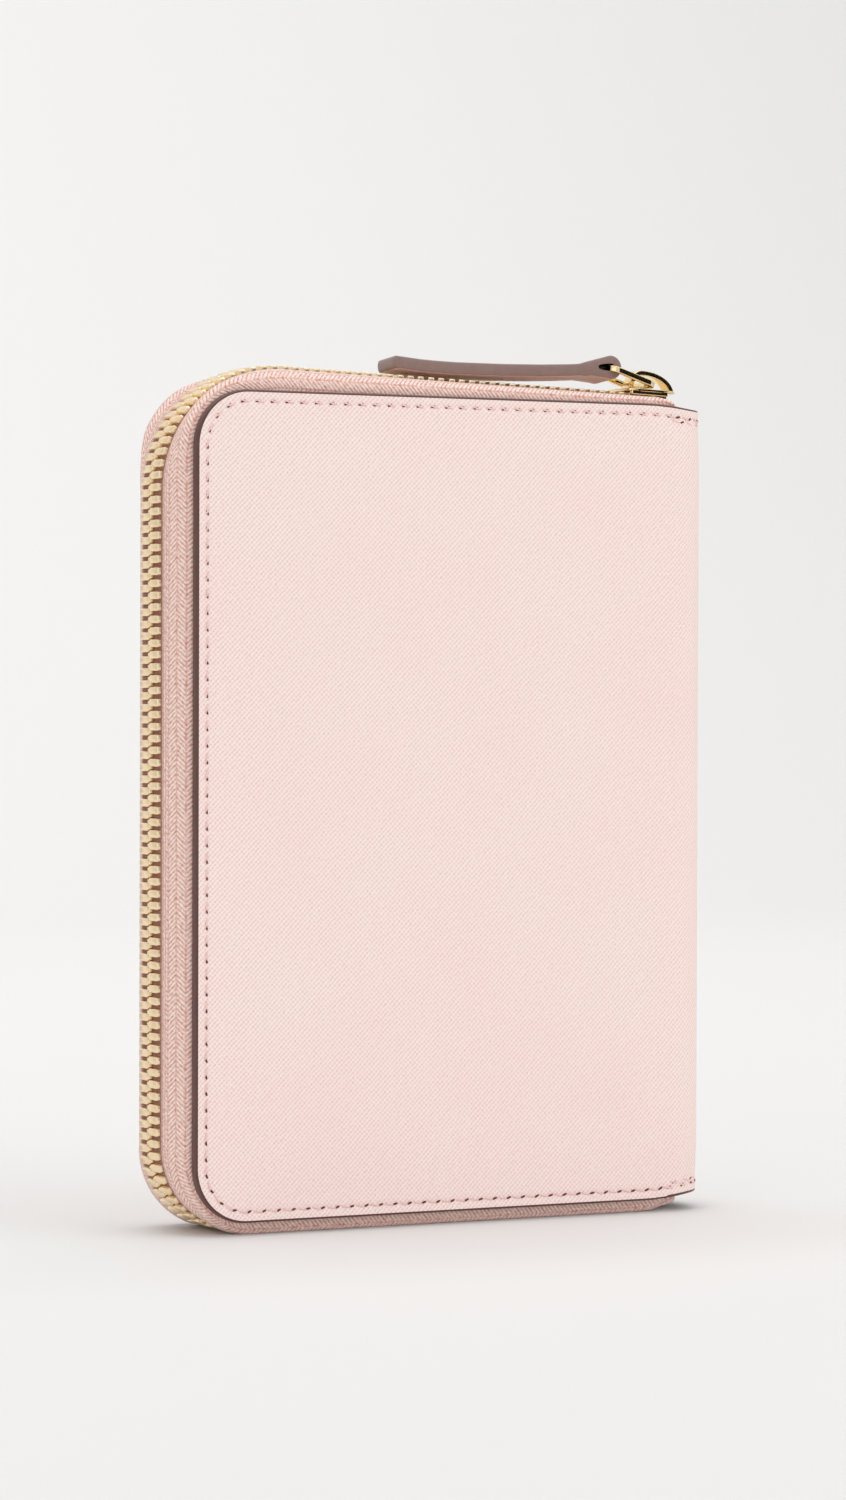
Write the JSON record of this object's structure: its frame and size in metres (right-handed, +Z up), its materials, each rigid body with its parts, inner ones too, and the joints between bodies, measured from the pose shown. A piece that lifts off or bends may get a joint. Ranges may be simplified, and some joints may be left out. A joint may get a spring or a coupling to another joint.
{
  "type": "zip-around wallet",
  "caption": "Zip-around travel wallet in grained leather, with a rounded spine, brass zip, leather pull tab, passport pocket and card slots.",
  "frame": {"origin": "middle of the foot that the closed wallet stands on: the bottom run of the zip", "axes": "+X from the zip side to the spine, +Y from the back cover to the front cover, +Z up along the covers"},
  "size_m": [0.1046, 0.022, 0.1502],
  "materials": {
    "outer_leather": "fine cross-grained, semi-matte",
    "inner_leather": "smooth, matte",
    "board": "grey pulp board",
    "zip_tape": "herringbone woven tape",
    "brass": "polished pale gold",
    "pull_leather": "painted glossy edges"
  },
  "bodies": {
    "back_cover": {"back_leather": "outer_leather", "back_board": "board", "back_lining": "inner_leather", "passport_pocket": "inner_leather", "back_tape": "zip_tape", "back_teeth": "brass", "back_stops": "brass"},
    "spine": {"spine_leather": "outer_leather", "spine_lining": "inner_leather"},
    "front_cover": {"front_leather": "outer_leather", "front_board": "board", "front_lining": "inner_leather", "slip_pocket": "inner_leather", "card_slot_1": "inner_leather", "card_slot_2": "inner_leather", "card_slot_3": "inner_leather", "card_slot_4": "inner_leather", "front_tape": "zip_tape", "front_teeth": "brass", "front_stops": "brass"},
    "slider": {"slider_body": "brass", "slider_bridge": "brass"},
    "link": {"pull_link": "brass"},
    "tab": {"pull_tab": "pull_leather"}
  },
  "joints": [
    {"name": "spine_fold", "type": "hinge", "parent": "back_cover", "child": "spine", "pos_m": [0.0463, -0.011, 0.07195], "axis": [0, 0, -1], "range_deg": [0, 90]},
    {"name": "cover_open", "type": "hinge", "parent": "spine", "child": "front_cover", "pos_m": [0.0463, 0.011, 0.07195], "axis": [0, 0, -1], "range_deg": [0, 90]},
    {"name": "zip_slide", "type": "slide", "parent": "back_cover", "child": "slider", "axis": [-0.9994, 0, 0.0349], "range_m": [0, 0.067]},
    {"name": "link_swing", "type": "hinge", "parent": "slider", "child": "link", "pos_m": [0.04319, 0, 0.14544], "axis": [0, 1, 0], "range_deg": [0, 110]},
    {"name": "tab_swing", "type": "hinge", "parent": "link", "child": "tab", "pos_m": [0.03501, 0, 0.1481], "axis": [0, 1, 0], "range_deg": [0, 65]}
  ],
  "couplings": [
    {"joint": "spine_fold", "follows": "cover_open", "ratio": 1}
  ]
}
